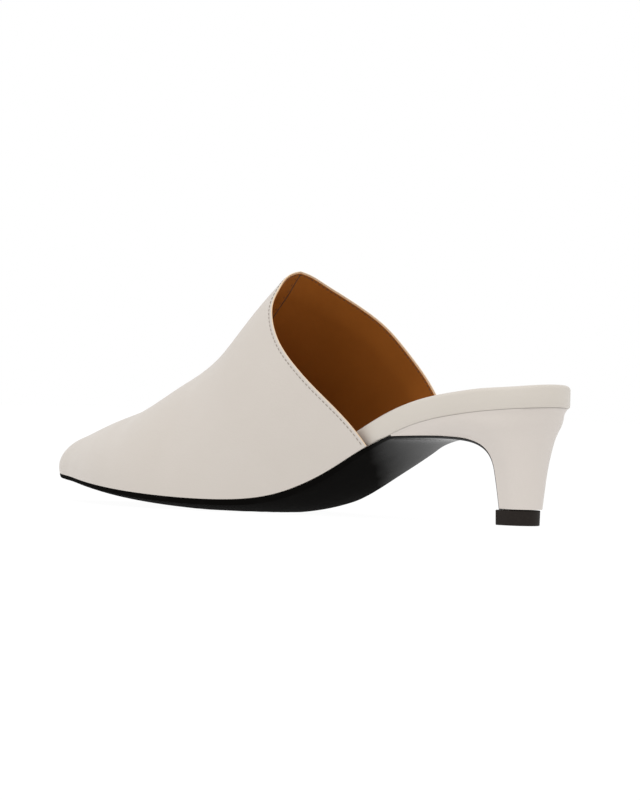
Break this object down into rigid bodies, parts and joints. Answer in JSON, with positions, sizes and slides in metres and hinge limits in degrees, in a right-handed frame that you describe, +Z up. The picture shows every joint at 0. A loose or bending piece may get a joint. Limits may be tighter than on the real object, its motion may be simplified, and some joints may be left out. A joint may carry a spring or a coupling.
{
  "type": "kitten heel mule",
  "caption": "Left kitten heel mule: pointed pale leather upper with a tan lining and open back, wrapped footbed, thin dark sole running down a low covered heel.",
  "frame": {"origin": "on the floor below the middle of the shoe's bounding box", "axes": "+X from the heel toward the toe, +Y toward the outer side of the left foot, +Z up from the floor"},
  "size_m": [0.2484, 0.0776, 0.0908],
  "materials": {
    "upper": "smooth satin leather, pale warm off-white, lined in tan leather",
    "insole": "padded footbed wrapped in the same off-white leather",
    "sock_lining": "soft matte tan leather",
    "outsole": "black leather, glossy at the waist",
    "heel": "covered in the same off-white leather",
    "top_lift": "very dark brown, matte"
  },
  "bodies": {
    "root": {"upper": "upper", "insole": "insole", "sock_lining": "sock_lining", "outsole": "outsole", "heel": "heel", "top_lift": "top_lift"}
  },
  "joints": []
}
